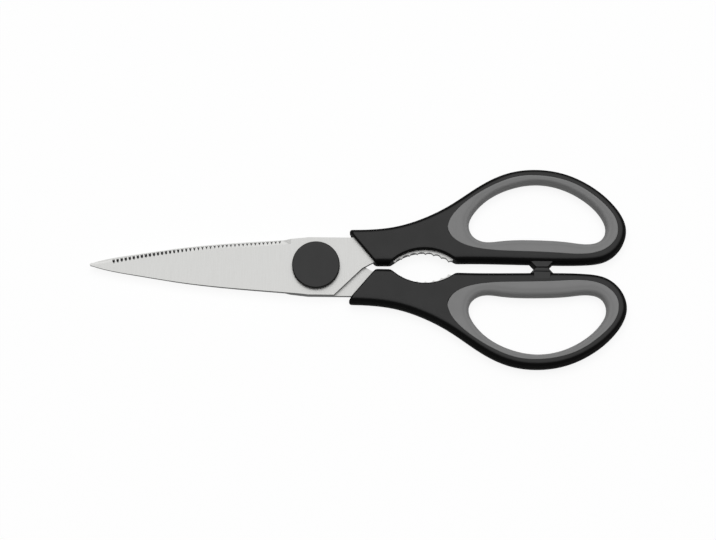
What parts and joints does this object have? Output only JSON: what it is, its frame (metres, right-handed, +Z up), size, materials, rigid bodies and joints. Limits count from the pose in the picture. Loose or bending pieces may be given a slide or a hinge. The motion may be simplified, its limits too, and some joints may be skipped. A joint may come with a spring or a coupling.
{
  "type": "kitchen shears",
  "caption": "Kitchen shears with a serrated front blade, a gripping jaw behind the pivot, a round pivot cover and soft-lined oval finger loops.",
  "frame": {"origin": "on the pivot axis, on the flat back of the pivot nut, which lies on the surface that the shears rest on", "axes": "+X from the blade tips to the handles, +Y to the upper handle with the shears closed, +Z up out of the resting surface"},
  "size_m": [0.2102, 0.08, 0.0104],
  "materials": {
    "blade_steel": "satin",
    "handle_plastic": "fine moulded texture",
    "grip_elastomer": "matte soft grip",
    "stop_elastomer": "matte",
    "pivot_steel": "turned",
    "washer_plastic": "natural acetal",
    "cover_plastic": "satin"
  },
  "bodies": {
    "back_half": {"back_blade": "blade_steel", "lower_handle": "handle_plastic", "lower_grip": "grip_elastomer", "lower_stop_pad": "stop_elastomer", "pivot_nut": "pivot_steel", "pivot_screw": "pivot_steel", "spring_washer": "pivot_steel", "friction_washer": "washer_plastic", "pivot_cover": "cover_plastic"},
    "front_half": {"front_blade": "blade_steel", "upper_handle": "handle_plastic", "upper_grip": "grip_elastomer", "upper_stop_pad": "stop_elastomer"}
  },
  "joints": [
    {"name": "blade_pivot", "type": "hinge", "parent": "back_half", "child": "front_half", "pos_m": [0, 0, 0], "axis": [0, 0, 1], "range_deg": [0, 97]}
  ]
}
